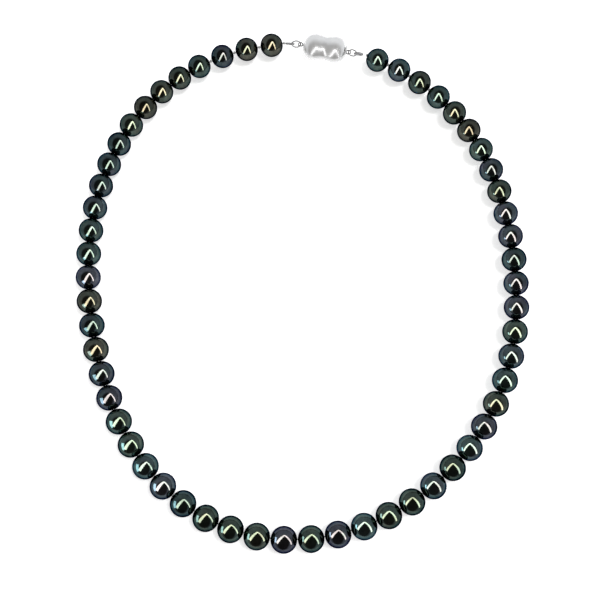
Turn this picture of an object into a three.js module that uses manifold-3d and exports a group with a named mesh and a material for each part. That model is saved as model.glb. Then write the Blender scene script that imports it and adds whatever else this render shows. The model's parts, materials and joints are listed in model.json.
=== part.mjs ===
// A single-strand pearl necklace, 45 cm long, closed and lying flat in an open loop.
// Millimetres, +Z up. The table is z = 0, the origin is under the middle of the loop's box,
// and the clasp's tongue pulls out of its case along +X.

import * as THREE from 'three';
import { mergeVertices } from 'three/addons/utils/BufferGeometryUtils.js';
import Module from 'manifold-3d';

// The pearls and their silk.
const PEARL_COUNT = 56;
const PEARL_RADIUS = 3.75;
const BORE_RADIUS = 0.5;
const SILK_RADIUS = 0.2;
const PLAIN_GAP = 0.12; // between two pearls that touch
const FIRST_KNOT_GAP = 0.95; // between two pearls with a knot between them, at the start of the strand
const LAST_KNOT_GAP = 0.5; // and at its end, where the knots are pulled tighter
const KNOTTED_GAPS = 3; // at each end of the strand
const KNOT_RADIUS = 0.55;
const KNOT_SQUASH = 0.45; // a knot's thickness along the thread, over its width
const NECK_RADIUS = 0.9; // where two pearls share one solid
const PEARL_SIDES = 12;
const PEARL_BANDS = 6;

// Pearls that share one solid, by the number of the first of the two.
const PAIRED_PEARLS = [10, 13, 16, 19, 38, 41, 44];

// The loop's radius is a circle with a few waves on it: [waves around, height, degrees to a crest].
// Directions are measured clockwise from +Y, seen from above.
const LOOP_WAVES = [
  [1, 0.7, 6],
  [2, 6.8, -11.6],
  [3, 0.8, -54.4],
  [4, 0.4, 21],
  [5, 0.3, -32.5],
];
const FIRST_PEARL_DIRECTION = -16.2;
const LAST_PEARL_DIRECTION = 10.1 - 360;
const SMALLEST_LOOP = 60;
const LARGEST_LOOP = 90;
const LARGEST_TURN = 20; // degrees round the loop from a pearl to the next

// The clasp: a puffy two-lobed case in two shells, and a tongue with a spring leaf.
const CLASP_CENTRE = [-4.4, 78.65];
const CASE_HALF_LENGTH = 7.35;
const CASE_LOBE = 4.8;
const CASE_WAIST_DIP = 0.7;
const CASE_WAIST_REACH = 2.1;
const CASE_FULLNESS = 4.2;
const CASE_FLATTENING = 0.61; // height over width
const CASE_WALL = 0.45;
const CASE_AXIS_Z = 2.65; // leaves a flat foot where the lobes meet the table
const CASE_MOUTH_X = 6.5;
const OUTSIDE_SIDES = 24;
const OUTSIDE_BANDS = 20;
const INSIDE_SIDES = 16;
const INSIDE_BANDS = 14;
const SEAM_Z = 3.2;
const SEAM_GAP = 0.1;
const FIT_GAP = 0.3;

const BLADE_NOSE_X = -1.6;
const BLADE_Z = [1.75, 2.15];
const BLADE_HALF_WIDTH = 1.25;
const BLADE_ROOT = 0.1; // how far the blade runs into the end cap
const CAP_NOTCH = { halfWidth: 1.1, bottom: 2.45 };
const LEAF_HALF_WIDTH = 0.8;
const LEAF_THICKNESS = 0.3;
const LEAF_PIVOT = [-1.15, 2.6];
const LEAF_RUN_Z = 3.1;
const LEAF_RISE_X = 1.2; // how far before the catch the leaf starts to rise to it
const CATCH_TOP = 4.05;
const CATCH_LENGTH = 0.3;
const CATCH_GAP = 0.25; // between the catch and the keeper
const TAB_THICKNESS = 0.35;
const TAB_TOP = 4.35;
const KEEPER = { x: [5.3, 5.65], halfWidth: 0.9, z: [3.72, 4.1] };

// Links: an eyelet on the case and one on the tongue, then an oval ring and a loop of gimp each side.
const EYELET_RADIUS = 0.72;
const EYELET_WIRE = 0.2;
const CASE_EYELET_X = -8.3;
const TONGUE_EYELET_X = 7.95;
const TONGUE_EYELET_Z = 2.05;
const RING_HALF_LENGTH = 1.5;
const RING_HALF_WIDTH = 1.0;
const RING_WIRE = 0.22;
const RING_ROLL = 50; // degrees about the link's length
const GIMP_HALF_LENGTH = 1.35;
const GIMP_HALF_WIDTH = 0.82;
const GIMP_WIRE = 0.34;
const GIMP_ROLL = -35;
const LINK_PLAY = 0.12; // between the ring's wire and the gimp's
const WIRE_SIDES = 6;
const LOOP_STEPS = 14;

const wasm = await Module();
wasm.setup();

const metal = () => new THREE.MeshStandardMaterial({ color: 0xd4d5d6, roughness: 0.2, metalness: 1 });
const nacre = () => new THREE.MeshStandardMaterial({ color: 0x1b2a2c, roughness: 0.15, metalness: 0.1 });
const silk = () => new THREE.MeshStandardMaterial({ color: 0x3a3d3e, roughness: 0.8, metalness: 0 });

const necklace = new THREE.Group();

function addPart(name, geometry, material) {
  const mesh = new THREE.Mesh(geometry, material);
  mesh.name = name;
  necklace.add(mesh);
  return mesh;
}

// ---------------------------------------------------------------- solids

function toSolid(geometry) {
  const bare = geometry.clone();
  bare.deleteAttribute('normal');
  bare.deleteAttribute('uv');
  const merged = mergeVertices(bare, 1e-4);
  const vertProperties = new Float32Array(merged.attributes.position.array);
  const triVerts = new Uint32Array(merged.index.array);
  return new wasm.Manifold(new wasm.Mesh({ numProp: 3, vertProperties, triVerts }));
}

function toGeometry(solid) {
  const mesh = solid.getMesh();
  const geometry = new THREE.BufferGeometry();
  geometry.setAttribute('position', new THREE.BufferAttribute(new Float32Array(mesh.vertProperties), 3));
  geometry.setIndex(new THREE.BufferAttribute(new Uint32Array(mesh.triVerts), 1));
  return geometry;
}

function block(low, high) {
  const box = new THREE.Box3(new THREE.Vector3(...low), new THREE.Vector3(...high));
  const size = box.getSize(new THREE.Vector3());
  const centre = box.getCenter(new THREE.Vector3());
  return toSolid(new THREE.BoxGeometry(...size).translate(...centre));
}

// A side view in X and Z, given its thickness along Y.
function slab(outline, halfWidth) {
  const shape = new THREE.Shape(outline.map(([x, z]) => new THREE.Vector2(x, z)));
  const geometry = new THREE.ExtrudeGeometry(shape, { depth: 2 * halfWidth, bevelEnabled: false });
  return toSolid(geometry.rotateX(Math.PI / 2).translate(0, halfWidth, 0));
}

// ---------------------------------------------------------------- strand

function onLoop(radius, direction) {
  const waves = LOOP_WAVES.map(([count, height, crest]) =>
    height * Math.cos(count * THREE.MathUtils.degToRad(direction - crest)));
  const reach = waves.reduce((sum, wave) => sum + wave, radius);
  const angle = THREE.MathUtils.degToRad(direction);
  return new THREE.Vector3(reach * Math.sin(angle), reach * Math.cos(angle), PEARL_RADIUS);
}

// The number for which measure(number) is zero, where measure falls as the number grows.
function solve(measure, low, high) {
  let [from, to] = [low, high];
  for (let step = 0; step < 50; step += 1) {
    const half = (from + to) / 2;
    if (measure(half) > 0) from = half;
    else to = half;
  }
  return (from + to) / 2;
}

function pitchAfter(pearl) {
  if (pearl < KNOTTED_GAPS) return 2 * PEARL_RADIUS + FIRST_KNOT_GAP;
  if (pearl >= PEARL_COUNT - 1 - KNOTTED_GAPS) return 2 * PEARL_RADIUS + LAST_KNOT_GAP;
  return 2 * PEARL_RADIUS + PLAIN_GAP;
}

// Pearl directions around a loop of a given radius, each one pitch from the last.
function pearlDirections(radius) {
  const directions = [FIRST_PEARL_DIRECTION];
  for (let pearl = 0; pearl < PEARL_COUNT - 1; pearl += 1) {
    const from = onLoop(radius, directions[pearl]);
    const pitch = pitchAfter(pearl);
    const missing = (turn) => pitch - from.distanceTo(onLoop(radius, directions[pearl] - turn));
    directions.push(directions[pearl] - solve(missing, 0, LARGEST_TURN));
  }
  return directions;
}

const loopRadius = solve(
  (radius) => LAST_PEARL_DIRECTION - pearlDirections(radius).at(-1),
  SMALLEST_LOOP,
  LARGEST_LOOP,
);
const pearls = pearlDirections(loopRadius).map((direction) => onLoop(loopRadius, direction));

// Where each pearl's bore ends: halfway to its neighbour, and just outside it at the strand's two ends.
function middle(a, b) {
  return a.clone().add(b).multiplyScalar(0.5);
}
const bends = pearls.slice(1).map((pearl, index) => middle(pearls[index], pearl));
function beyond(pearl, bend, gap) {
  const outwards = pearl.clone().sub(bend).normalize();
  return pearl.clone().addScaledVector(outwards, PEARL_RADIUS + gap / 2);
}
const strandStart = beyond(pearls[0], bends[0], FIRST_KNOT_GAP);
const strandEnd = beyond(pearls.at(-1), bends.at(-1), LAST_KNOT_GAP);
const boreEnds = [strandStart, ...bends, strandEnd];

// The outline of one drilled pearl, from one mouth of the bore to the other, around `centre` on the axis.
function pearlProfile(centre, firstRadius, lastRadius) {
  const first = Math.asin(firstRadius / PEARL_RADIUS);
  const last = Math.PI - Math.asin(lastRadius / PEARL_RADIUS);
  const points = [];
  for (let index = 0; index <= PEARL_BANDS; index += 1) {
    const angle = first + ((last - first) * index) / PEARL_BANDS;
    points.push(new THREE.Vector2(PEARL_RADIUS * Math.sin(angle), centre - PEARL_RADIUS * Math.cos(angle)));
  }
  return points;
}

// The lathe turns about Y, so its axis is laid along +X and one of its edges is turned to the table.
function turned(profile) {
  return new THREE.LatheGeometry([...profile, profile[0]], PEARL_SIDES).rotateZ(-Math.PI / 2);
}

function onePearl() {
  return turned(pearlProfile(0, BORE_RADIUS, BORE_RADIUS));
}

function twoPearls() {
  const half = PEARL_RADIUS + PLAIN_GAP / 2;
  return turned([
    ...pearlProfile(-half, BORE_RADIUS, NECK_RADIUS),
    ...pearlProfile(half, NECK_RADIUS, BORE_RADIUS),
  ]);
}

function twoDigits(number) {
  return String(number).padStart(2, '0');
}

// Lays a solid on its place in the strand, its axis on the line between its bore's two ends.
function thread(name, geometry, place, from, to) {
  const mesh = addPart(name, geometry, nacre());
  mesh.position.copy(place);
  mesh.rotation.z = Math.atan2(to.y - from.y, to.x - from.x);
}

for (let number = 1; number <= PEARL_COUNT; number += 1) {
  const from = boreEnds[number - 1];
  if (PAIRED_PEARLS.includes(number)) {
    const name = `pearls_${twoDigits(number)}_${twoDigits(number + 1)}`;
    thread(name, twoPearls(), bends[number - 1], from, boreEnds[number + 1]);
  } else if (!PAIRED_PEARLS.includes(number - 1)) {
    thread(`pearl_${twoDigits(number)}`, onePearl(), pearls[number - 1], from, boreEnds[number]);
  }
}

// ---------------------------------------------------------------- silk thread

function silkThread() {
  const section = new THREE.Shape().absarc(0, 0, SILK_RADIUS, 0, 2 * Math.PI);
  const path = new THREE.CatmullRomCurve3([strandStart, ...pearls, strandEnd]);
  const options = { extrudePath: path, steps: 2 * PEARL_COUNT, curveSegments: 3, bevelEnabled: false };
  let silkSolid = toSolid(new THREE.ExtrudeGeometry(section, options));
  boreEnds.forEach((place, index) => {
    if (index > KNOTTED_GAPS && index < PEARL_COUNT - KNOTTED_GAPS) return;
    const before = boreEnds[Math.max(0, index - 1)];
    const after = boreEnds[Math.min(PEARL_COUNT, index + 1)];
    const knot = new THREE.SphereGeometry(KNOT_RADIUS, 8, 6)
      .scale(KNOT_SQUASH, 1, 1)
      .rotateZ(Math.atan2(after.y - before.y, after.x - before.x))
      .translate(...place);
    silkSolid = silkSolid.add(toSolid(knot));
  });
  return toGeometry(silkSolid);
}

addPart('silk_thread', silkThread(), silk());

// ---------------------------------------------------------------- clasp

// The case's outside, turned about its length and then flattened. `inset` moves every wall inwards.
function caseBody(inset, around, along) {
  const halfLength = CASE_HALF_LENGTH - inset;
  const profile = [];
  for (let index = 0; index <= along; index += 1) {
    const x = -halfLength * Math.cos((Math.PI * index) / along);
    const waist = CASE_WAIST_DIP * Math.exp(-((x / CASE_WAIST_REACH) ** 2));
    const rounding = Math.sqrt(Math.max(0, 1 - Math.abs(x / halfLength) ** CASE_FULLNESS));
    profile.push(new THREE.Vector2((CASE_LOBE - inset - waist) * rounding, x));
  }
  const flattening = (CASE_LOBE * CASE_FLATTENING - inset) / (CASE_LOBE - inset);
  const geometry = new THREE.LatheGeometry(profile, around).rotateZ(-Math.PI / 2).scale(1, 1, flattening);
  return toSolid(geometry.translate(0, 0, CASE_AXIS_Z));
}

const FAR = 20; // beyond every wall of the clasp
const outside = caseBody(0, OUTSIDE_SIDES, OUTSIDE_BANDS);
const shell = outside.subtract(caseBody(CASE_WALL, INSIDE_SIDES, INSIDE_BANDS));
const belowMouth = block([-FAR, -FAR, 0], [CASE_MOUTH_X, FAR, FAR]);

function claspCover() {
  return shell.intersect(belowMouth).intersect(block([-FAR, -FAR, SEAM_Z + SEAM_GAP / 2], [FAR, FAR, FAR]));
}

function claspBase() {
  return shell.intersect(belowMouth).intersect(block([-FAR, -FAR, 0], [FAR, FAR, SEAM_Z - SEAM_GAP / 2]));
}

function eyelet(x, z) {
  const ring = new THREE.TorusGeometry(EYELET_RADIUS, EYELET_WIRE, 8, 14);
  return toSolid(ring.translate(x, 0, z));
}

// A flat blade under the leaf, an end cap that carries on the case's outline and is notched for the
// leaf, and the eyelet.
function claspTongue() {
  const capStart = CASE_MOUTH_X + FIT_GAP;
  const cap = outside.intersect(block([capStart, -FAR, 0], [FAR, FAR, FAR]));
  const notch = block(
    [0, -CAP_NOTCH.halfWidth, CAP_NOTCH.bottom],
    [FAR, CAP_NOTCH.halfWidth, FAR],
  );
  const blade = block(
    [BLADE_NOSE_X, -BLADE_HALF_WIDTH, BLADE_Z[0]],
    [capStart + BLADE_ROOT, BLADE_HALF_WIDTH, BLADE_Z[1]],
  );
  return cap.subtract(notch).add(blade).add(eyelet(TONGUE_EYELET_X, TONGUE_EYELET_Z));
}

// From the fold at the nose up to the catch, on under the keeper, and up into the thumb tab.
function springLeaf() {
  const [pivotX, pivotZ] = LEAF_PIVOT;
  const [keeperIn] = KEEPER.x;
  const startX = pivotX - CATCH_LENGTH;
  const catchX = keeperIn - CATCH_GAP;
  const tabX = CASE_MOUTH_X + FIT_GAP + BLADE_ROOT;
  const leafTop = LEAF_RUN_Z + LEAF_THICKNESS;
  return slab([
    [startX, pivotZ - LEAF_THICKNESS / 2],
    [catchX, LEAF_RUN_Z],
    [tabX + TAB_THICKNESS, LEAF_RUN_Z],
    [tabX + TAB_THICKNESS, TAB_TOP],
    [tabX, TAB_TOP],
    [tabX, leafTop],
    [catchX, leafTop],
    [catchX, CATCH_TOP],
    [catchX - CATCH_LENGTH, CATCH_TOP],
    [catchX - LEAF_RISE_X, leafTop - BLADE_ROOT],
    [startX, pivotZ + LEAF_THICKNESS / 2],
  ], LEAF_HALF_WIDTH);
}

function keeper() {
  return block(
    [KEEPER.x[0], -KEEPER.halfWidth, KEEPER.z[0]],
    [KEEPER.x[1], KEEPER.halfWidth, KEEPER.z[1]],
  );
}

const claspParts = {
  clasp_cover: claspCover(),
  clasp_base: claspBase(),
  clasp_keeper: keeper(),
  case_eyelet: eyelet(CASE_EYELET_X, CASE_AXIS_Z),
  clasp_tongue: claspTongue(),
  tongue_leaf: springLeaf(),
};
for (const [name, solid] of Object.entries(claspParts)) {
  addPart(name, toGeometry(solid), metal()).position.set(...CLASP_CENTRE, 0);
}

// ---------------------------------------------------------------- links

function ovalLoop(halfLength, halfWidth, wire) {
  const geometry = new THREE.TorusGeometry(1, 1, WIRE_SIDES, LOOP_STEPS);
  const position = geometry.attributes.position;
  for (let index = 0; index < position.count; index += 1) {
    const around = (index % (LOOP_STEPS + 1)) * ((2 * Math.PI) / LOOP_STEPS);
    const across = Math.floor(index / (LOOP_STEPS + 1)) * ((2 * Math.PI) / WIRE_SIDES);
    const out = new THREE.Vector2(Math.cos(around) * halfWidth, Math.sin(around) * halfLength).normalize();
    position.setXYZ(
      index,
      Math.cos(around) * halfLength + out.x * wire * Math.cos(across),
      Math.sin(around) * halfWidth + out.y * wire * Math.cos(across),
      wire * Math.sin(across),
    );
  }
  return geometry;
}

// Lays a loop's length on the line from one point to another, starting at the first, and rolls it
// about that line.
function layLink(mesh, from, to, halfLength, roll) {
  const along = to.clone().sub(from).normalize();
  mesh.position.copy(from).addScaledVector(along, halfLength);
  const turn = new THREE.Quaternion().setFromUnitVectors(new THREE.Vector3(1, 0, 0), along);
  const rolled = new THREE.Quaternion().setFromAxisAngle(along, THREE.MathUtils.degToRad(roll));
  mesh.quaternion.copy(rolled.multiply(turn));
}

const linkSides = {
  left: { eyelet: [CASE_EYELET_X, CASE_AXIS_Z], mouth: strandStart },
  right: { eyelet: [TONGUE_EYELET_X, TONGUE_EYELET_Z], mouth: strandEnd },
};
for (const [side, { eyelet: [x, z], mouth }] of Object.entries(linkSides)) {
  const anchor = new THREE.Vector3(CLASP_CENTRE[0] + x, CLASP_CENTRE[1], z);
  const ring = addPart(`${side}_ring`, ovalLoop(RING_HALF_LENGTH, RING_HALF_WIDTH, RING_WIRE), metal());
  layLink(ring, anchor, mouth, RING_HALF_LENGTH, RING_ROLL);
  const towardMouth = mouth.clone().sub(anchor).normalize();
  const reach = 2 * RING_HALF_LENGTH - (RING_WIRE + GIMP_WIRE + LINK_PLAY);
  const hold = anchor.clone().addScaledVector(towardMouth, reach);
  const gimp = addPart(`${side}_gimp`, ovalLoop(GIMP_HALF_LENGTH, GIMP_HALF_WIDTH, GIMP_WIRE), metal());
  layLink(gimp, hold, mouth, GIMP_HALF_LENGTH, GIMP_ROLL);
}

const box = new THREE.Box3().setFromObject(necklace);
necklace.position.set(-(box.min.x + box.max.x) / 2, -(box.min.y + box.max.y) / 2, 0);

export default necklace;
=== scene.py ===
"""The looks of the pearl necklace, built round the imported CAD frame. Metres, +Z up, table at z = 0."""

import json
import math
import random

import bmesh
import bpy
import numpy as np
from mathutils import Matrix, Vector, noise

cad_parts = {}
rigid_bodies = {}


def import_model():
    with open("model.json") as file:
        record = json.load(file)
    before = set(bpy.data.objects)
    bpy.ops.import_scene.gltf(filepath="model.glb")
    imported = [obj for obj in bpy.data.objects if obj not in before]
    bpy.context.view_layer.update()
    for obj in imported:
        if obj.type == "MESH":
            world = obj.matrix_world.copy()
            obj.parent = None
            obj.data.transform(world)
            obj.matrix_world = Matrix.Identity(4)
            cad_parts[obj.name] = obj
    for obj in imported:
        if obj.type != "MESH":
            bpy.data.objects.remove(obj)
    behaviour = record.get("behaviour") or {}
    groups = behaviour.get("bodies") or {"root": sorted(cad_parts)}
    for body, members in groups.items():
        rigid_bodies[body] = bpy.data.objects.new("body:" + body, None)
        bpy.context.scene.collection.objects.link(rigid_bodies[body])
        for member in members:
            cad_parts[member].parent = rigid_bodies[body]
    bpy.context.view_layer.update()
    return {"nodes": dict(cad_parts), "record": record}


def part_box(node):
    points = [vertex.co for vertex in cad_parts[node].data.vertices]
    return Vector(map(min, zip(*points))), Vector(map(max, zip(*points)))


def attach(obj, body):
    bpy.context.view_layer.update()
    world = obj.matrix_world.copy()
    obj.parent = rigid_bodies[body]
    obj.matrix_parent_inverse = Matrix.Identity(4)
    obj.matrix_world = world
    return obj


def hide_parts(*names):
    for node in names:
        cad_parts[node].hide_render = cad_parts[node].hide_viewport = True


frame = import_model()

MM = 0.001

# The camera: how far it stands from the point it looks at, how high, and how far it is turned.
CAMERA_AIM = Vector((1.395, -8.746, 0)) * MM
CAMERA_DISTANCE = 232.6 * MM
CAMERA_ELEVATION = math.radians(74.65)
CAMERA_TURN = math.radians(9.3)
CAMERA_LENS = 45.28
CAMERA_SENSOR = 36
CAMERA_CLIP = (0.01, 20)

# Pearls.
PEARL_COUNT = 56
PEARL_RADIUS = 3.75 * MM
BORE_RADIUS = 0.42 * MM
BORE_ROUNDING = 0.08 * MM
SHOULDER = (0.4, 0.25)  # the one point on that rounding: shares of it along and out
PEARL_SIDES = 64
PEARL_RINGS = 40
PAIR_PITCH = 7.62 * MM  # between the two pearls of a shared CAD solid
WAVINESS = 0.014 * MM  # how far a pearl strays from a true sphere
WAVE_LENGTH = 3.2 * MM
SEED_SPREAD = 50  # wavelengths over which the pearls pick their own waviness

# Nacre: how much it mirrors head-on, by tone, and the tint that darkens it towards a glancing angle.
NACRE_TONES = [
    (0.0, (0.066, 0.066, 0.054)),
    (0.35, (0.050, 0.070, 0.060)),
    (0.65, (0.044, 0.068, 0.070)),
    (1.0, (0.056, 0.060, 0.074)),
]
NACRE_EDGE = (0.13, 0.15, 0.24, 1.0)
NACRE_DEPTH = (0.8, 1.2)  # how dark or light one pearl is against the others
NACRE_ROUGHNESS = (0.06, 0.12)
TONE_SWING = 0.5  # within one pearl
CLOUD_SWING = 0.8
GRAIN_SWING = 0.5

# Silver: its dull and bright shade. The case is satin, so part of its light is diffuse.
CASE_SHADES = (0.72, 0.80)
CASE_METALLIC = 0.55
WIRE_SHADES = (0.34, 0.48)
SILVER_ROUGHNESS = (0.20, 0.30)
HAIRLINE_DEPTH = 0.004 * MM

# Gimp wire, in its hollows and on its crests.
GIMP_SHADES = ((0.42, 0.42, 0.43), (0.66, 0.66, 0.66))
GIMP_ROUGHNESS = (0.28, 0.42)
GIMP_WEAR_DEPTH = 0.005 * MM

# Silk, between its fibres and on them.
SILK_SHADES = ((0.30, 0.31, 0.31), (0.52, 0.53, 0.52))
SILK_ROUGHNESS = (0.6, 0.85)
SILK_SHEEN = 0.4
FIBRE_SCALE = 5200
FIBRE_DEPTH = 0.01 * MM

# Cloudy patterns: scale per metre, detail and roughness.
TONE_DRIFT = (260, 2, 0.5)
NACRE_CLOUDS = (420, 4, 0.6)
NACRE_GRAIN = (1900, 2, 0.6)
NACRE_POLISH = (1100, 3, 0.6)
SILVER_BLOOM = (300, 3, 0.5)
SILVER_HAIRLINES = (1400, 5, 0.65)
GIMP_WEAR = (2200, 4, 0.6)
SILK_FUZZ = (FIBRE_SCALE, 4, 0.7)
HAIRLINE_STRETCH = (1, 6, 6)
VARIANT_SPREAD = 90.0  # how far apart the patterns of two pearls may be

# The thread: two plies twisted round each other, with a knot in each gap wider than a touch.
PLY_RADIUS = 0.11 * MM
PLY_OFFSET = 0.09 * MM
PLY_PITCH = 1.3 * MM
PLY_STEPS = 24
PLY_SIDES = 8
KNOT_SPAN = 0.16 * MM
KNOT_RADIUS = 0.41 * MM
KNOT_CORD = 0.125 * MM
KNOT_STEPS = 72
KNOT_SIDES = 10
FIRST_KNOT_GAP = 0.95 * MM
LAST_KNOT_GAP = 0.5 * MM
KNOTTED_GAPS = 3

# The clasp, in millimetres from its centre, as in the CAD.
CASE_HALF_LENGTH = 7.35
CASE_LOBE = 4.8
CASE_WAIST_DIP = 0.7
CASE_WAIST_REACH = 2.1
CASE_FULLNESS = 4.2
CASE_FLATTENING = 0.61
CASE_WALL = 0.45
CASE_AXIS_Z = 2.65
CASE_MOUTH_X = 6.5
HALVINGS = 50  # to find the closed end of a shell
SHELL_ROWS = 72
SHELL_COLUMNS = 64
SHELL_BEVEL = 0.06
SMALL_BEVEL = 0.05  # on the leaf and the keeper
SEAM_Z = 3.2
SEAM_GAP = 0.1
CAP_START_X = 6.8
CAP_ROWS = 10
CAP_SIDES = 72
CAP_NOTCH_HALF_WIDTH = 1.1
CAP_NOTCH_BOTTOM = 2.45
BLADE_X = (-1.6, 6.95)
BLADE_Z = (1.75, 2.15)
BLADE_HALF_WIDTH = 1.25
BLADE_BEVEL = 0.12
FOLD_Z = 2.375
FOLD_OUTSIDE = 0.375
FOLD_INSIDE = 0.12
FOLD_STEPS = 12
LEAF_HALF_WIDTH = 0.8
LEAF_THICKNESS = 0.3
LEAF_START = (-1.45, 2.6)  # its x and z
LEAF_RUN_Z = 3.1
CATCH = (5.05, 4.05)  # the x of its back and its top
CATCH_CREST = 0.3
CATCH_RAMP = 1.2
CATCH_RAMP_FOOT = 0.18
TAB_X = (6.9, 7.25)
TAB_TOP = 4.35
EYELET_RADIUS = 0.72
EYELET_WIRE = 0.2  # radius
EYELET_STEPS = 40
EYELET_SIDES = 14
SOLDER = ((0, 0.0), (0.02, 0.2), (0.1, 0.24), (0.25, 0.34), (0.34, 0.46), (0.36, 0.0))  # along, out
SOLDER_START = 0.2  # of the wire's radius, beyond the ring's own middle line
SOLDER_SIDES = 20
CASE_EYELET_X = -8.3
TONGUE_EYELET_X = 7.95
TONGUE_EYELET_Z = 2.05
RING_SIZE = (1.5, 1.0, 0.22)  # half length, half width, and radius of the wire
RING_STEPS = 72
RING_SIDES = 16
GIMP_SIZE = (1.35, 0.82)  # half length and half width
GIMP_COIL_RADIUS = 0.28
GIMP_WIRE = 0.058  # radius
GIMP_TURNS = 54
GIMP_STEPS_PER_TURN = 14
GIMP_SIDES = 8
GIMP_CORE = 0.17  # radius
GIMP_CORE_STEPS = 48
GIMP_CORE_SIDES = 10

# Suns: elevation, azimuth and angular width in degrees, and strength.
KEY = (68, 26, 20, 1.55)
FILL = (85, 30, 150, 0.7)

# The table. It glows a little, which softens every shadow on it.
FLOOR_HALF_SIZE = 3.0
FLOOR_COLOR = (0.86, 0.86, 0.86, 1)
FLOOR_GLOW = 0.56

# The tent's dark opening: its tilt from overhead to the front, and its half sizes as sines.
OPENING_TILT = math.radians(63)
OPENING_HALF_WIDTH = 0.86
OPENING_HALF_LENGTH = 0.98
OPENING_EDGE = 0.84
OPENING_COLOR = (0.10, 0.09, 0.08)
TENT_COLOR = (0.80, 0.82, 0.84)

# Strip lights: name, what they shine on, both ends and width in millimetres, radiance, colour.
APEX = (13, 84, 207)
LEFT_FOOT = (-103, -156, 69)
RIGHT_FOOT = (226, -161, 44)
WARM = (1.0, 0.84, 0.66)
COOL = (0.75, 0.95, 1.0)
WHITE = (1.0, 1.0, 1.0)
STRIPS = [
    ("strip_left", "nacre", APEX, LEFT_FOOT, 44, 19, WARM),
    ("strip_right", "nacre", APEX, RIGHT_FOOT, 36, 19, WARM),
    ("side_lamp", "nacre", (-90, -128, 30), (-95, -62, 36), 34, 11, COOL),
    ("soft_left", "metal", APEX, LEFT_FOOT, 34, 3, WHITE),
    ("soft_right", "metal", APEX, RIGHT_FOOT, 26, 3, WHITE),
]

# Clean-up of every mesh.
MERGE_DISTANCE = 0.0005 * MM
SHORTEST_EDGE = 0.0001 * MM
SHARP_ANGLE = math.radians(35)
BEVEL_SEGMENTS = 3

rng = random.Random(7)
behaviour = frame["record"]["behaviour"]
node_body = {node: body for body, nodes in behaviour["bodies"].items() for node in nodes}


# ---------------------------------------------------------------- camera

def add_camera():
    """The camera, standing back from its aim along its own line of sight."""
    back = Vector((
        math.sin(CAMERA_TURN) * math.cos(CAMERA_ELEVATION),
        -math.cos(CAMERA_TURN) * math.cos(CAMERA_ELEVATION),
        math.sin(CAMERA_ELEVATION),
    ))
    data = bpy.data.cameras.new("camera")
    data.lens = CAMERA_LENS
    data.sensor_width = CAMERA_SENSOR
    data.clip_start, data.clip_end = CAMERA_CLIP
    camera = bpy.data.objects.new("camera", data)
    camera.location = CAMERA_AIM + back * CAMERA_DISTANCE
    camera.rotation_mode = "QUATERNION"
    camera.rotation_quaternion = (-back).to_track_quat("-Z", "Y")
    bpy.context.scene.collection.objects.link(camera)
    bpy.context.scene.camera = camera


add_camera()
bpy.context.scene.view_settings.view_transform = "Standard"


# ---------------------------------------------------------------- materials

class Nodes:
    """Builds one node material: add() makes a node, join() links two sockets."""

    def __init__(self, name):
        self.material = bpy.data.materials.new(name)
        self.material.use_nodes = True
        self.tree = self.material.node_tree
        self.shader = self.tree.nodes["Principled BSDF"]

    def add(self, kind, **values):
        """A new node. Each value sets a property of that name, or else an input."""
        node = self.tree.nodes.new(kind)
        for key, value in values.items():
            if hasattr(node, key):
                setattr(node, key, value)
            else:
                node.inputs[key.replace("_", " ")].default_value = value
        return node

    def join(self, source, target):
        self.tree.links.new(source, target)

    def set(self, **values):
        """Sets the shader's own inputs."""
        for key, value in values.items():
            self.shader.inputs[key.replace("_", " ")].default_value = value

    def noise(self, coordinates, scale, detail, roughness, variant=None):
        """Cloudy noise. A `variant` socket picks another pattern for each of its values."""
        node = self.add("ShaderNodeTexNoise", noise_dimensions="4D" if variant else "3D")
        node.inputs["Scale"].default_value = scale
        node.inputs["Detail"].default_value = detail
        node.inputs["Roughness"].default_value = roughness
        self.join(coordinates, node.inputs["Vector"])
        if variant:
            self.join(self.remap(variant, 0.0, VARIANT_SPREAD), node.inputs["W"])
        return node.outputs["Fac"]

    def ramp(self, factor, stops):
        """A colour that runs through the stops as the factor goes from 0 to 1."""
        node = self.add("ShaderNodeValToRGB")
        elements = node.color_ramp.elements
        while len(elements) < len(stops):
            elements.new(0.5)
        for element, (position, color) in zip(elements, stops):
            element.position = position
            element.color = (*color, 1)
        self.join(factor, node.inputs["Fac"])
        return node.outputs["Color"]

    def remap(self, factor, low, high):
        """Stretches a factor of 0 to 1 over low to high."""
        node = self.add("ShaderNodeMapRange")
        node.inputs["To Min"].default_value = low
        node.inputs["To Max"].default_value = high
        self.join(factor, node.inputs["Value"])
        return node.outputs["Result"]

    def total(self, one, other):
        """The sum of two factors."""
        node = self.add("ShaderNodeMath", operation="ADD")
        self.join(one, node.inputs[0])
        self.join(other, node.inputs[1])
        return node.outputs["Value"]

    def scale_color(self, color, factor):
        """A colour made lighter or darker by a factor."""
        node = self.add("ShaderNodeVectorMath", operation="SCALE")
        self.join(color, node.inputs[0])
        self.join(factor, node.inputs["Scale"])
        return node.outputs["Vector"]

    def bump(self, height, distance):
        """Relief on the surface, up to that distance high."""
        node = self.add("ShaderNodeBump", Strength=1.0, Distance=distance)
        self.join(height, node.inputs["Height"])
        self.join(node.outputs["Normal"], self.shader.inputs["Normal"])


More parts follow.
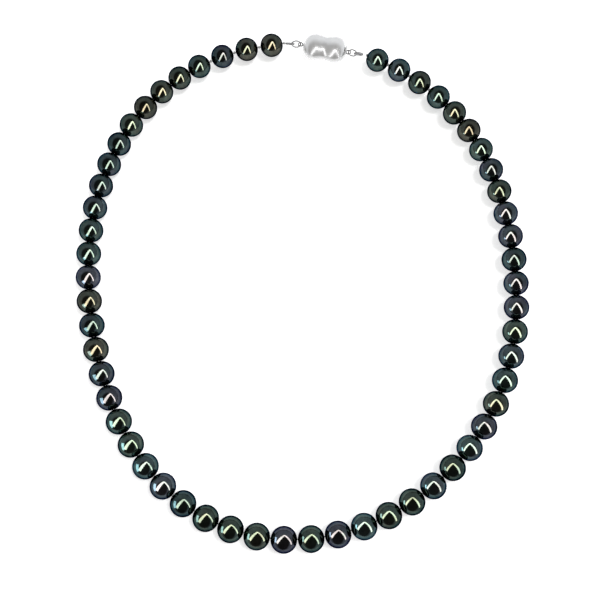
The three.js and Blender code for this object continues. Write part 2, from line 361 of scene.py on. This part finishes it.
def nacre_material():
    """Dark nacre: its thin layers mirror the studio faintly, in a cloudy, finely grained tone."""
    made = Nodes("nacre")
    place = made.add("ShaderNodeTexCoord").outputs["Object"]
    tone = made.add("ShaderNodeAttribute", attribute_name="tone").outputs["Fac"]
    depth = made.add("ShaderNodeAttribute", attribute_name="depth").outputs["Fac"]
    drift = made.remap(made.noise(place, *TONE_DRIFT, variant=tone), -TONE_SWING, TONE_SWING)
    color = made.ramp(made.total(tone, drift), NACRE_TONES)
    clouds = made.remap(made.noise(place, *NACRE_CLOUDS, variant=tone), 1 - CLOUD_SWING, 1 + CLOUD_SWING)
    grain = made.remap(made.noise(place, *NACRE_GRAIN, variant=tone), 1 - GRAIN_SWING, 1 + GRAIN_SWING)
    for factor in (clouds, grain, depth):
        color = made.scale_color(color, factor)
    made.join(color, made.shader.inputs["Base Color"])
    polish = made.noise(place, *NACRE_POLISH, variant=tone)
    made.join(made.remap(polish, *NACRE_ROUGHNESS), made.shader.inputs["Roughness"])
    made.set(Metallic=1.0, Specular_Tint=NACRE_EDGE)
    return made.material


def silver_material(name, shades, metallic):
    """Silver with a soft bloom between two shades and hairline wear along its length."""
    made = Nodes(name)
    place = made.add("ShaderNodeTexCoord").outputs["Object"]
    stretched = made.add("ShaderNodeMapping")
    stretched.inputs["Scale"].default_value = HAIRLINE_STRETCH
    made.join(place, stretched.inputs["Vector"])
    hairlines = made.noise(stretched.outputs["Vector"], *SILVER_HAIRLINES)
    bloom = made.noise(place, *SILVER_BLOOM)
    dull, bright = shades
    color = made.ramp(bloom, [(0.3, (dull, dull, 1.01 * dull)), (0.7, (bright, bright, bright))])
    made.join(color, made.shader.inputs["Base Color"])
    made.join(made.remap(hairlines, *SILVER_ROUGHNESS), made.shader.inputs["Roughness"])
    made.bump(hairlines, HAIRLINE_DEPTH)
    made.set(Metallic=metallic)
    return made.material


def gimp_material():
    """Satin silver-plated wire, a little duller in its hollows."""
    made = Nodes("gimp_wire")
    place = made.add("ShaderNodeTexCoord").outputs["Object"]
    wear = made.noise(place, *GIMP_WEAR)
    hollow, crest = GIMP_SHADES
    made.join(made.ramp(wear, [(0.3, hollow), (0.7, crest)]), made.shader.inputs["Base Color"])
    made.join(made.remap(wear, *GIMP_ROUGHNESS), made.shader.inputs["Roughness"])
    made.bump(wear, GIMP_WEAR_DEPTH)
    made.set(Metallic=1.0)
    return made.material


def silk_material():
    """Grey silk cord: fine fibres and a soft sheen."""
    made = Nodes("silk")
    place = made.add("ShaderNodeTexCoord").outputs["Object"]
    fibres = made.add("ShaderNodeTexWave", Scale=FIBRE_SCALE, Distortion=6.0, Detail=2.0)
    made.join(place, fibres.inputs["Vector"])
    fuzz = made.noise(place, *SILK_FUZZ)
    dark, light = SILK_SHADES
    color = made.ramp(fibres.outputs["Fac"], [(0.0, dark), (1.0, light)])
    made.join(color, made.shader.inputs["Base Color"])
    made.join(made.remap(fuzz, *SILK_ROUGHNESS), made.shader.inputs["Roughness"])
    made.bump(fibres.outputs["Fac"], FIBRE_DEPTH)
    made.set(Sheen_Weight=SILK_SHEEN, Sheen_Roughness=SILK_SHEEN)
    return made.material


nacre = nacre_material()
silver = silver_material("silver", CASE_SHADES, CASE_METALLIC)
wire = silver_material("silver_wire", WIRE_SHADES, 1.0)
gimp_wire = gimp_material()
silk = silk_material()


# ---------------------------------------------------------------- mesh helpers

def grid_faces(rows, columns, wrap_rows=False, wrap_columns=False, start=0):
    """Quads of a grid whose vertices are numbered row by row."""
    faces = []
    for row in range(rows if wrap_rows else rows - 1):
        below = (row + 1) % rows
        for column in range(columns if wrap_columns else columns - 1):
            beside = (column + 1) % columns
            corners = (row, column), (row, beside), (below, beside), (below, column)
            faces.append([start + r * columns + c for r, c in corners])
    return faces


def is_sharp(edge):
    """Whether two faces meet at the edge at more than the sharp angle."""
    return edge.is_manifold and edge.calc_face_angle(0) > SHARP_ANGLE


def make_object(name, mesh, material, bevel=0.0):
    """A closed mesh piece: doubles merged, normals outward, sharp edges softened or kept crisp."""
    vertices, faces = mesh
    data = bpy.data.meshes.new(name)
    data.from_pydata([tuple(v) for v in vertices], [], faces)
    bm = bmesh.new()
    bm.from_mesh(data)
    bmesh.ops.remove_doubles(bm, verts=bm.verts, dist=MERGE_DISTANCE)
    bmesh.ops.dissolve_degenerate(bm, edges=bm.edges, dist=SHORTEST_EDGE)
    bmesh.ops.recalc_face_normals(bm, faces=bm.faces)
    if bevel:
        edges = [edge for edge in bm.edges if is_sharp(edge)]
        bmesh.ops.bevel(
            bm,
            geom=edges,
            offset=bevel,
            segments=BEVEL_SEGMENTS,
            profile=0.5,
            affect="EDGES",
            clamp_overlap=True,
        )
    for face in bm.faces:
        face.smooth = True
    for edge in bm.edges:
        edge.smooth = not is_sharp(edge)
    bm.to_mesh(data)
    bm.free()
    data.materials.append(material)
    obj = bpy.data.objects.new(name, data)
    bpy.context.scene.collection.objects.link(obj)
    return obj


def settle(obj, body, slot, *replaced):
    """Puts a finished piece on its body and hides the CAD nodes it stands for. The slot is not used."""
    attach(obj, body)
    if replaced:
        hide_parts(*replaced)
    return obj


def tube_mesh(path, radius, sides, closed=False):
    """Vertices and faces of a round tube along a path, without twist. An open one is capped."""
    path = np.asarray(path, float)
    count = len(path)
    if closed:
        tangents = np.roll(path, -1, 0) - np.roll(path, 1, 0)
    else:
        tangents = np.gradient(path, axis=0)
    tangents /= np.linalg.norm(tangents, axis=1)[:, None]
    helper = np.eye(3)[np.argmin(abs(tangents[0]))]
    normal = np.cross(tangents[0], helper)
    normal /= np.linalg.norm(normal)
    normals = [normal]
    for tangent in tangents[1:]:
        normal = normal - tangent * (normal @ tangent)
        normal /= np.linalg.norm(normal)
        normals.append(normal)
    normals = np.array(normals)
    if closed:
        carried = normals[-1] - tangents[0] * (normals[-1] @ tangents[0])
        carried /= np.linalg.norm(carried)
        miss = math.atan2(np.cross(carried, normals[0]) @ tangents[0], carried @ normals[0])
    else:
        miss = 0.0
    vertices = []
    for index in range(count):
        across = np.cross(tangents[index], normals[index])
        twist = miss * index / count
        for side in range(sides):
            angle = 2 * math.pi * side / sides + twist
            offset = math.cos(angle) * normals[index] + math.sin(angle) * across
            vertices.append(path[index] + radius * offset)
    faces = grid_faces(count, sides, wrap_rows=closed, wrap_columns=True)
    if not closed:
        faces.append(list(range(sides))[::-1])
        faces.append([(count - 1) * sides + side for side in range(sides)])
    return vertices, faces


def join_meshes(*meshes):
    """Several meshes as one list of vertices and one of faces."""
    vertices = []
    faces = []
    for some_vertices, some_faces in meshes:
        start = len(vertices)
        vertices.extend(some_vertices)
        faces.extend([[start + index for index in face] for face in some_faces])
    return vertices, faces


def moved(points, matrix):
    """The points carried by a matrix."""
    return [tuple(matrix @ Vector(point)) for point in points]


def facing(along, up=Vector((0, 0, 1)), at=Vector((0, 0, 0))):
    """A matrix whose X is `along` and whose Z leans to `up`, standing at `at`."""
    x = Vector(along).normalized()
    y = Vector(up).cross(x).normalized()
    z = x.cross(y)
    return Matrix.Translation(at) @ Matrix((x, y, z)).transposed().to_4x4()


def node_frame(node):
    """Centre and long, middle and short axis of a CAD node, as a matrix with those axes as X, Y and Z."""
    points = np.array([v.co for v in frame["nodes"][node].data.vertices], float)
    low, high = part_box(node)
    spread = np.cov((points - points.mean(0)).T)
    axes = np.linalg.eigh(spread)[1][:, ::-1]
    if np.linalg.det(axes) < 0:
        axes[:, 2] = -axes[:, 2]
    return Matrix.Translation((low + high) / 2) @ Matrix(axes.tolist()).to_4x4()


# ---------------------------------------------------------------- pearls

def pearl_places():
    """Name of the CAD node and centre of each pearl, in stringing order."""
    places = []
    for node in sorted(n for n in frame["nodes"] if n.startswith("pearl")):
        low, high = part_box(node)
        centre = (low + high) / 2
        if not node.startswith("pearls_"):
            places.append((node, centre))
            continue
        axis = node_frame(node).col[0].to_3d()
        places.append((node, centre - axis * PAIR_PITCH / 2))
        places.append((node, centre + axis * PAIR_PITCH / 2))
    return sorted(places, key=lambda place: int(place[0].split("_")[1]))


def in_order(places):
    """Turns round the two pearls of a pair where they come in the wrong order."""
    ordered = list(places)
    for index in range(1, len(ordered) - 1):
        node, centre = ordered[index]
        after_node, after = ordered[index + 1]
        before = ordered[index - 1][1]
        if node == after_node and (after - before).length < (centre - before).length:
            ordered[index], ordered[index + 1] = ordered[index + 1], ordered[index]
    return ordered


def pearl_profile():
    """Half outline of a drilled pearl as (along, out): over the outside and back through the bore."""
    mouth = BORE_RADIUS + BORE_ROUNDING
    first = math.asin(mouth / PEARL_RADIUS)
    outside = [first + (math.pi - 2 * first) * ring / PEARL_RINGS for ring in range(PEARL_RINGS + 1)]
    points = [(-PEARL_RADIUS * math.cos(angle), PEARL_RADIUS * math.sin(angle)) for angle in outside]
    lip = PEARL_RADIUS * math.cos(first) - BORE_ROUNDING
    shoulder = lip + SHOULDER[0] * BORE_ROUNDING
    shoulder_out = BORE_RADIUS + SHOULDER[1] * BORE_ROUNDING
    points += [(shoulder, shoulder_out), (lip, BORE_RADIUS)]
    points += [(lip * share, BORE_RADIUS) for share in (0.5, 0, -0.5)]
    points += [(-lip, BORE_RADIUS), (-shoulder, shoulder_out)]
    return points


def add_pearl(number, node, centre, along):
    """One drilled pearl, very slightly out of round, with its bore along the strand."""
    seed = Vector([rng.uniform(0, SEED_SPREAD) for _ in range(3)])
    lie = facing(along)
    profile = pearl_profile()
    vertices = []
    for x, out in profile:
        for side in range(PEARL_SIDES):
            angle = 2 * math.pi * side / PEARL_SIDES
            point = Vector((x, out * math.cos(angle), out * math.sin(angle)))
            if out > 2 * BORE_RADIUS:
                point *= 1 + WAVINESS / PEARL_RADIUS * noise.noise(point / WAVE_LENGTH + seed)
            vertices.append(lie @ point)
    faces = grid_faces(len(profile), PEARL_SIDES, wrap_rows=True, wrap_columns=True)
    obj = make_object(f"nacre_pearl_{number:02d}", (vertices, faces), nacre)
    tones = {"tone": rng.uniform(0, 1), "depth": rng.uniform(*NACRE_DEPTH)}
    for name, value in tones.items():
        attribute = obj.data.attributes.new(name, "FLOAT", "POINT")
        attribute.data.foreach_set("value", [value] * len(obj.data.vertices))
    obj.location = centre
    return settle(obj, node_body[node], "pearl", node)


# ---------------------------------------------------------------- silk

def ply_paths(start, end):
    """Two plies twisted round the line from start to end."""
    matrix = facing(end - start, at=start)
    length = (end - start).length
    for phase in (0, math.pi):
        path = []
        for step in range(PLY_STEPS + 1):
            x = length * step / PLY_STEPS
            angle = 2 * math.pi * x / PLY_PITCH + phase
            path.append((x, PLY_OFFSET * math.cos(angle), PLY_OFFSET * math.sin(angle)))
        yield moved(path, matrix)


def add_thread(number, body, start, centre, end):
    """The two-ply thread through one pearl, bent at its middle."""
    plies = [
        tube_mesh(path, PLY_RADIUS, PLY_SIDES)
        for half in ((start, centre), (centre, end))
        for path in ply_paths(*half)
    ]
    obj = make_object(f"silk_run_{number:02d}", join_meshes(*plies), silk)
    return settle(obj, body, "silk", "silk_thread")


def add_knot(number, body, place, along):
    """A pulled-tight overhand knot whose loops lie across the thread."""
    path = []
    for step in range(KNOT_STEPS):
        turn = 2 * math.pi * step / KNOT_STEPS
        path.append((
            KNOT_SPAN * math.sin(3 * turn),
            KNOT_RADIUS / 3 * (math.sin(turn) + 2 * math.sin(2 * turn)),
            KNOT_RADIUS / 3 * (math.cos(turn) - 2 * math.cos(2 * turn)),
        ))
    cord = tube_mesh(moved(path, facing(along, at=place)), KNOT_CORD, KNOT_SIDES, closed=True)
    obj = make_object(f"silk_knot_{number}", cord, silk)
    return settle(obj, body, "silk", "silk_thread")


def add_strand():
    """All pearls, the thread from touching point to touching point, and a knot in each wider gap."""
    places = in_order(pearl_places())
    nodes = [node for node, _ in places]
    centres = [centre for _, centre in places]
    touch = [(a + b) / 2 for a, b in zip(centres, centres[1:])]
    start = centres[0] + (centres[0] - touch[0]).normalized() * (PEARL_RADIUS + FIRST_KNOT_GAP / 2)
    end = centres[-1] + (centres[-1] - touch[-1]).normalized() * (PEARL_RADIUS + LAST_KNOT_GAP / 2)
    ends = [start, *touch, end]
    for index, (node, centre) in enumerate(zip(nodes, centres)):
        add_pearl(index + 1, node, centre, ends[index + 1] - ends[index])
        add_thread(index + 1, node_body[node], ends[index], centre, ends[index + 1])
    knotted = [0, *range(1, 1 + KNOTTED_GAPS), *range(PEARL_COUNT - KNOTTED_GAPS, PEARL_COUNT), PEARL_COUNT]
    for number, index in enumerate(knotted, 1):
        before = ends[max(0, index - 1)]
        after = ends[min(PEARL_COUNT, index + 1)]
        add_knot(number, node_body[nodes[min(index, PEARL_COUNT - 1)]], ends[index], after - before)


add_strand()


# ---------------------------------------------------------------- clasp

def clasp_origin():
    """The clasp's centre, on the table."""
    low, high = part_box("clasp_cover")
    return Vector((high.x - CASE_MOUTH_X * MM, (low.y + high.y) / 2, 0))


CLASP = Matrix.Translation(clasp_origin()) @ Matrix.Scale(MM, 4)


def case_section(x, inset=0.0):
    """Half width and half height of the case's outside, or of a wall that far inside it."""
    half_length = CASE_HALF_LENGTH - inset
    waist = CASE_WAIST_DIP * math.exp(-((x / CASE_WAIST_REACH) ** 2))
    rounding = math.sqrt(max(0.0, 1 - abs(x / half_length) ** CASE_FULLNESS))
    width = (CASE_LOBE - inset - waist) * rounding
    return width, width * (CASE_LOBE * CASE_FLATTENING - inset) / (CASE_LOBE - inset)


def closed_end(height, inset):
    """Where, towards the case's closed end, the section is only `height` high above its axis."""
    low, high = 0.0, CASE_HALF_LENGTH - inset
    for _ in range(HALVINGS):
        middle = (low + high) / 2
        if case_section(middle, inset)[1] > height:
            low = middle
        else:
            high = middle
    return -low


def half_shell(upper, inset):
    """Grid of points over one wall of a shell, from the closed end to the mouth."""
    seam = SEAM_Z - CASE_AXIS_Z + (SEAM_GAP / 2 if upper else -SEAM_GAP / 2)
    start = closed_end(seam, inset)
    grid = []
    for row in range(SHELL_ROWS):
        share = row / (SHELL_ROWS - 1)
        x = start + (CASE_MOUTH_X - start) * (1 - math.cos(math.pi * share / 2))
        width, height = case_section(x, inset)
        edge = math.asin(min(1.0, seam / height))
        first, last = (edge, math.pi - edge) if upper else (math.pi - edge, 2 * math.pi + edge)
        for column in range(SHELL_COLUMNS):
            angle = first + (last - first) * column / (SHELL_COLUMNS - 1)
            z = CASE_AXIS_Z + height * math.sin(angle)
            grid.append((x, width * math.cos(angle), max(z, 0.0)))
    return grid


def add_shell(name, upper, node):
    """The upper or lower half of the case: two walls joined along the seam and the mouth."""
    rows, columns = SHELL_ROWS, SHELL_COLUMNS
    outer = half_shell(upper, 0.0)
    inner = half_shell(upper, CASE_WALL)
    count = rows * columns
    faces = grid_faces(rows, columns) + [face[::-1] for face in grid_faces(rows, columns, start=count)]
    edge_left = [row * columns for row in range(rows)]
    edge_right = [row * columns + columns - 1 for row in range(rows)]
    mouth = [(rows - 1) * columns + column for column in range(columns)]
    for line in (edge_left, edge_right, mouth):
        for a, b in zip(line, line[1:]):
            faces.append([a, b, b + count, a + count])
    vertices = outer + inner
    if not upper:
        for inset, offset in ((0.0, 0), (CASE_WALL, count)):
            tip = len(vertices)
            vertices.append((-(CASE_HALF_LENGTH - inset), 0.0, CASE_AXIS_Z))
            faces += [[tip, offset + column, offset + column + 1] for column in range(columns - 1)]
    obj = make_object(name, (moved(vertices, CLASP), faces), silver, bevel=SHELL_BEVEL * MM)
    return settle(obj, "clasp_case", "silver", node)


def ring_path(half_length, half_width, steps):
    """Points of an ellipse lying in X and Y."""
    turns = [2 * math.pi * step / steps for step in range(steps)]
    return [(half_length * math.cos(t), half_width * math.sin(t), 0.0) for t in turns]


def eyelet_mesh(x, z, toward):
    """A wire ring lying flat, with a fillet of solder where it meets the clasp on its `toward` side."""
    ring = ring_path(EYELET_RADIUS, EYELET_RADIUS, EYELET_STEPS)
    circle = [(x + along, across, z) for along, across, _ in ring]
    loop = tube_mesh(moved(circle, CLASP), EYELET_WIRE * MM, EYELET_SIDES, closed=True)
    root = x + toward * (EYELET_RADIUS + EYELET_WIRE * SOLDER_START)
    vertices = []
    for along, out in SOLDER:
        for side in range(SOLDER_SIDES):
            angle = 2 * math.pi * side / SOLDER_SIDES
            vertices.append((root + toward * along, out * math.cos(angle), z + out * math.sin(angle)))
    collar = (moved(vertices, CLASP), grid_faces(len(SOLDER), SOLDER_SIDES, wrap_columns=True))
    return join_meshes(loop, collar)


def box_mesh(low, high):
    """A box between two corners in the clasp's millimetres."""
    corners = [(x, y, z) for x in (low[0], high[0]) for y in (low[1], high[1]) for z in (low[2], high[2])]
    faces = [(0, 1, 3, 2), (4, 6, 7, 5), (0, 4, 5, 1), (2, 3, 7, 6), (0, 2, 6, 4), (1, 5, 7, 3)]
    return moved(corners, CLASP), [list(face) for face in faces]


def slab_mesh(outline, half_width):
    """A side view in X and Z with its thickness along Y."""
    count = len(outline)
    vertices = [(x, -half_width, z) for x, z in outline] + [(x, half_width, z) for x, z in outline]
    faces = [list(range(count)), list(range(2 * count - 1, count - 1, -1))]
    faces += [[i, i + count, (i + 1) % count + count, (i + 1) % count] for i in range(count)]
    return moved(vertices, CLASP), faces


def arc(x, z, radius, first, last):
    """Points in X and Z round a centre, between two angles."""
    angles = [first + (last - first) * step / FOLD_STEPS for step in range(FOLD_STEPS + 1)]
    return [(x + radius * math.cos(angle), z + radius * math.sin(angle)) for angle in angles]


def cap_mesh():
    """The case's end beyond its mouth, without the notch for the leaf's tab."""
    rows, sides = CAP_ROWS, CAP_SIDES
    vertices = []
    for row in range(rows):
        x = CAP_START_X + (CASE_HALF_LENGTH - CAP_START_X) * math.sin(math.pi / 2 * row / (rows - 1))
        width, height = case_section(x)
        for side in range(sides):
            angle = 2 * math.pi * side / sides
            vertices.append((x, width * math.cos(angle), CASE_AXIS_Z + height * math.sin(angle)))
    faces = grid_faces(rows, sides, wrap_columns=True)
    faces.append(list(range(sides)))
    return moved(vertices, CLASP), faces


def cut(obj, cutter):
    """Cuts one mesh object with another and removes the cutter."""
    modifier = obj.modifiers.new("cut", "BOOLEAN")
    modifier.operation = "DIFFERENCE"
    modifier.solver = "EXACT"
    modifier.object = cutter
    bpy.context.view_layer.update()
    graph = bpy.context.evaluated_depsgraph_get()
    data = bpy.data.meshes.new_from_object(obj.evaluated_get(graph))
    obj.modifiers.clear()
    obj.data = data
    bpy.data.objects.remove(cutter)
    return obj


def add_tongue():
    """The end cap with its notch, the blade, the fold at the blade's tip and the eyelet."""
    cap = make_object("tongue_cap", cap_mesh(), silver)
    notch = box_mesh(
        (CAP_START_X - 1, -CAP_NOTCH_HALF_WIDTH, CAP_NOTCH_BOTTOM),
        (CASE_HALF_LENGTH + 1, CAP_NOTCH_HALF_WIDTH, CASE_AXIS_Z + CASE_LOBE),
    )
    cut(cap, make_object("notch", notch, silver))
    blade = box_mesh(
        (BLADE_X[0], -BLADE_HALF_WIDTH, BLADE_Z[0]),
        (BLADE_X[1], BLADE_HALF_WIDTH, BLADE_Z[1]),
    )
    fold = arc(LEAF_START[0], FOLD_Z, FOLD_OUTSIDE, 0.5 * math.pi, 1.5 * math.pi)
    fold += arc(LEAF_START[0], FOLD_Z, FOLD_INSIDE, 1.5 * math.pi, 0.5 * math.pi)
    loop = eyelet_mesh(TONGUE_EYELET_X, TONGUE_EYELET_Z, -1)
    for obj in (
        cap,
        make_object("tongue_blade", blade, silver, bevel=BLADE_BEVEL * MM),
        make_object("tongue_fold", slab_mesh(fold, LEAF_HALF_WIDTH), silver),
        make_object("tongue_eyelet", loop, wire),
    ):
        settle(obj, "tongue", "silver", "clasp_tongue")


def add_leaf():
    """The spring strip from the fold up to the catch, on under the keeper and up into the thumb tab."""
    start_x, start_z = LEAF_START
    catch_x, catch_top = CATCH
    tab_start, tab_end = TAB_X
    half = LEAF_THICKNESS / 2
    outline = [
        (start_x, start_z - half),
        (catch_x, LEAF_RUN_Z),
        (tab_end, LEAF_RUN_Z),
        (tab_end, TAB_TOP),
        (tab_start, TAB_TOP),
        (tab_start, LEAF_RUN_Z + LEAF_THICKNESS),
        (catch_x, LEAF_RUN_Z + LEAF_THICKNESS),
        (catch_x, catch_top),
        (catch_x - CATCH_CREST, catch_top),
        (catch_x - CATCH_RAMP, LEAF_RUN_Z + CATCH_RAMP_FOOT),
        (start_x, start_z + half),
    ]
    leaf = slab_mesh(outline, LEAF_HALF_WIDTH)
    obj = make_object("spring_leaf", leaf, silver, bevel=SMALL_BEVEL * MM)
    settle(obj, "tongue_leaf", "silver", "tongue_leaf")


def add_case():
    """Both shells, the eyelet on the closed end and the keeper inside the mouth."""
    add_shell("case_upper_shell", True, "clasp_cover")
    add_shell("case_lower_shell", False, "clasp_base")
    loop = make_object("case_loop", eyelet_mesh(CASE_EYELET_X, CASE_AXIS_Z, 1), wire)
    settle(loop, "clasp_case", "silver", "case_eyelet")
    low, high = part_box("clasp_keeper")
    inverse = CLASP.inverted()
    bar = box_mesh(inverse @ low, inverse @ high)
    keeper = make_object("case_keeper", bar, silver, bevel=SMALL_BEVEL * MM)
    settle(keeper, "clasp_case", "silver", "clasp_keeper")


def add_ring(side):
    """The oval ring on one side of the clasp."""
    node = f"{side}_ring"
    half_length, half_width, wire_radius = RING_SIZE
    matrix = node_frame(node) @ Matrix.Scale(MM, 4)
    path = moved(ring_path(half_length, half_width, RING_STEPS), matrix)
    ring = tube_mesh(path, wire_radius * MM, RING_SIDES, closed=True)
    obj = make_object(f"{side}_oval_ring", ring, wire)
    settle(obj, node_body[node], "silver", node)


def add_gimp(side):
    """A loop of fine wire coiled tightly round the silk."""
    node = f"{side}_gimp"
    half_length, half_width = GIMP_SIZE
    matrix = node_frame(node) @ Matrix.Scale(MM, 4)
    steps = GIMP_TURNS * GIMP_STEPS_PER_TURN
    coil = []
    for step in range(steps):
        around = 2 * math.pi * step / steps
        turn = GIMP_TURNS * around
        out = Vector((math.cos(around) * half_width, math.sin(around) * half_length, 0)).normalized()
        reach = GIMP_COIL_RADIUS * math.cos(turn)
        coil.append((
            half_length * math.cos(around) + out.x * reach,
            half_width * math.sin(around) + out.y * reach,
            GIMP_COIL_RADIUS * math.sin(turn),
        ))
    coiled = tube_mesh(moved(coil, matrix), GIMP_WIRE * MM, GIMP_SIDES, closed=True)
    obj = make_object(f"{side}_gimp_coil", coiled, gimp_wire)
    settle(obj, node_body[node], "gimp", node)
    loop = moved(ring_path(half_length, half_width, GIMP_CORE_STEPS), matrix)
    core = tube_mesh(loop, GIMP_CORE * MM, GIMP_CORE_SIDES, closed=True)
    thread = make_object(f"{side}_gimp_silk", core, silk)
    settle(thread, node_body[node], "silk", "silk_thread")


add_case()
add_tongue()
add_leaf()
for clasp_side in ("left", "right"):
    add_ring(clasp_side)
    add_gimp(clasp_side)


# ---------------------------------------------------------------- studio

def add_floor():
    """A white table top, far wider than the necklace."""
    half = FLOOR_HALF_SIZE
    corners = [(-half, -half, 0), (half, -half, 0), (half, half, 0), (-half, half, 0)]
    data = bpy.data.meshes.new("floor")
    data.from_pydata(corners, [], [(0, 1, 2, 3)])
    material = bpy.data.materials.new("white_paper")
    material.use_nodes = True
    shader = material.node_tree.nodes["Principled BSDF"]
    shader.inputs["Base Color"].default_value = FLOOR_COLOR
    shader.inputs["Roughness"].default_value = 0.9
    shader.inputs["Specular IOR Level"].default_value = 0.0
    shader.inputs["Emission Color"].default_value = (1, 1, 1, 1)
    shader.inputs["Emission Strength"].default_value = FLOOR_GLOW
    data.materials.append(material)
    floor = bpy.data.objects.new("floor", data)
    bpy.context.scene.collection.objects.link(floor)


def receivers(kind):
    """The pearls, or everything else, as a collection that a light can be limited to."""
    if kind not in bpy.data.collections:
        collection = bpy.data.collections.new(kind)
        for obj in bpy.context.scene.objects:
            if obj.type == "MESH" and obj.name.startswith("nacre") == (kind == "nacre"):
                collection.objects.link(obj)
    return bpy.data.collections[kind]


def add_strip(name, kind, high_end, low_end, width, radiance, color):
    """A strip light seen only in reflections, between two points in millimetres."""
    a = Vector(high_end) * MM
    b = Vector(low_end) * MM
    data = bpy.data.lights.new(name, "AREA")
    data.shape = "RECTANGLE"
    data.size = (b - a).length
    data.size_y = width * MM
    data.energy = radiance * math.pi * data.size * data.size_y
    data.color = color
    light = bpy.data.objects.new(name, data)
    middle = (a + b) / 2
    light.matrix_world = facing(b - a, up=middle, at=middle)
    light.visible_camera = False
    light.visible_diffuse = False
    light.light_linking.receiver_collection = receivers(kind)
    bpy.context.scene.collection.objects.link(light)


def add_sun(name, elevation, azimuth, width, strength):
    """A distant soft source that lights the table but isn't seen in the gloss. Angles in degrees."""
    data = bpy.data.lights.new(name, "SUN")
    data.energy = strength
    data.angle = math.radians(width)
    light = bpy.data.objects.new(name, data)
    height = math.radians(elevation)
    turn = math.radians(azimuth)
    toward = Vector((
        math.cos(turn) * math.cos(height),
        math.sin(turn) * math.cos(height),
        math.sin(height),
    ))
    light.rotation_mode = "QUATERNION"
    light.rotation_quaternion = (-toward).to_track_quat("-Z", "Y")
    light.visible_glossy = False
    bpy.context.scene.collection.objects.link(light)


def add_world():
    """A white tent with a long dark opening overhead, which reaches down to the horizon in front."""
    world = bpy.data.worlds.new("studio")
    world.use_nodes = True
    tree = world.node_tree
    nodes = tree.nodes
    place = nodes.new("ShaderNodeTexCoord").outputs["Generated"]

    def share_of_reach(axis, reach):
        """How far a direction lies along an axis, as a share of the reach."""
        dot = nodes.new("ShaderNodeVectorMath")
        dot.operation = "DOT_PRODUCT"
        dot.inputs[1].default_value = tuple(Vector(axis).normalized() / reach)
        tree.links.new(place, dot.inputs[0])
        return dot.outputs["Value"]

    across = share_of_reach((1, 0, 0), OPENING_HALF_WIDTH)
    along = share_of_reach((0, math.sin(OPENING_TILT), math.cos(OPENING_TILT)), OPENING_HALF_LENGTH)
    both = nodes.new("ShaderNodeCombineXYZ")
    tree.links.new(across, both.inputs["X"])
    tree.links.new(along, both.inputs["Y"])
    length = nodes.new("ShaderNodeVectorMath")
    length.operation = "LENGTH"
    tree.links.new(both.outputs[0], length.inputs[0])
    ramp = nodes.new("ShaderNodeValToRGB")
    tree.links.new(length.outputs["Value"], ramp.inputs["Fac"])
    elements = ramp.color_ramp.elements
    elements[0].position = OPENING_EDGE
    elements[0].color = (*OPENING_COLOR, 1)
    elements[1].position = 1.0
    elements[1].color = (*TENT_COLOR, 1)
    tree.links.new(ramp.outputs["Color"], nodes["Background"].inputs["Color"])
    bpy.context.scene.world = world


add_floor()
add_sun("key", *KEY)
add_sun("fill", *FILL)
add_world()
for strip in STRIPS:
    add_strip(*strip)
